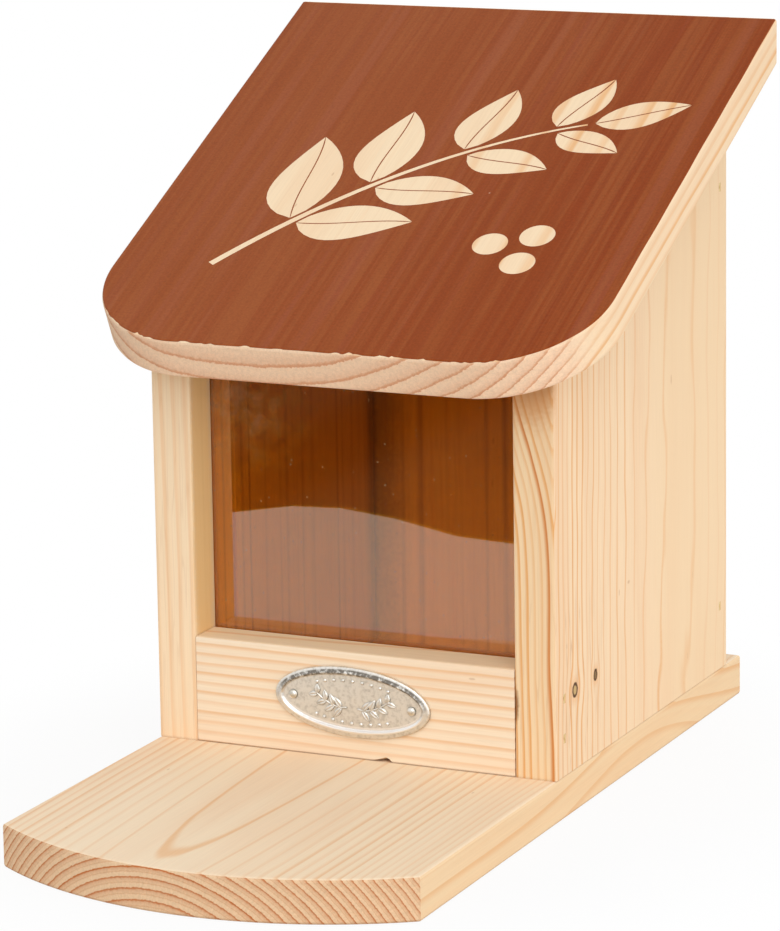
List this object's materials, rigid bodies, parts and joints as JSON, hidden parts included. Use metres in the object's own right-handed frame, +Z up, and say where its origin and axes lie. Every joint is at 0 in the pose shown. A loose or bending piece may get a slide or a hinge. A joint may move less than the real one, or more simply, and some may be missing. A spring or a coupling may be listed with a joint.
{
  "type": "squirrel feeder box",
  "caption": "Wooden squirrel feeder: box with a see-through front above a low rail, a rounded sloping roof hinged at the rear, and a long base board with a bowed front to sit on.",
  "frame": {"origin": "middle of the base board's underside, which is the bottom centre of the whole object", "axes": "+Z up, +Y from the front of the feeder to its back, +X to the right seen from the front"},
  "size_m": [0.15, 0.25, 0.2033],
  "materials": {
    "pine": "planed untreated pine with warm grain",
    "painted_pine": "pine painted satin red-brown on top, bare on its edges and underside",
    "acrylic": "clear acrylic sheet that looks amber brown in the dark box",
    "plate_metal": "satin pressed metal",
    "bright_steel": "bright domed pins",
    "brad_steel": "resin-coated brads",
    "hinge_steel": "zinc-plated steel",
    "screw_steel": "zinc-plated slotted screws"
  },
  "bodies": {
    "box": {"base_board": "pine", "left_side_wall": "pine", "right_side_wall": "pine", "back_wall": "pine", "front_rail": "pine", "window_pane": "acrylic", "oval_plate": "plate_metal", "plate_pin_left": "bright_steel", "plate_pin_right": "bright_steel", "left_rail_brad_lower": "brad_steel", "left_back_brad_lower": "brad_steel", "left_rail_brad_upper": "brad_steel", "left_back_brad_upper": "brad_steel", "left_base_brad_front": "brad_steel", "left_base_brad_rear": "brad_steel", "back_base_brad_left": "brad_steel", "right_rail_brad_lower": "brad_steel", "right_back_brad_lower": "brad_steel", "right_rail_brad_upper": "brad_steel", "right_back_brad_upper": "brad_steel", "right_base_brad_front": "brad_steel", "right_base_brad_rear": "brad_steel", "back_base_brad_right": "brad_steel", "left_hinge_wall_leaf": "hinge_steel", "left_hinge_pin": "hinge_steel", "right_hinge_wall_leaf": "hinge_steel", "right_hinge_pin": "hinge_steel", "left_hinge_wall_screw_left": "screw_steel", "left_hinge_wall_screw_right": "screw_steel", "right_hinge_wall_screw_left": "screw_steel", "right_hinge_wall_screw_right": "screw_steel"},
    "lid": {"roof_board": "painted_pine", "left_hinge_roof_leaf": "hinge_steel", "right_hinge_roof_leaf": "hinge_steel", "left_hinge_roof_screw_left": "screw_steel", "left_hinge_roof_screw_right": "screw_steel", "right_hinge_roof_screw_left": "screw_steel", "right_hinge_roof_screw_right": "screw_steel"}
  },
  "joints": [
    {"name": "lid_hinge", "type": "hinge", "parent": "box", "child": "lid", "pos_m": [0, 0.1162, 0.19], "axis": [-1, 0, 0], "range_deg": [0, 175]}
  ]
}
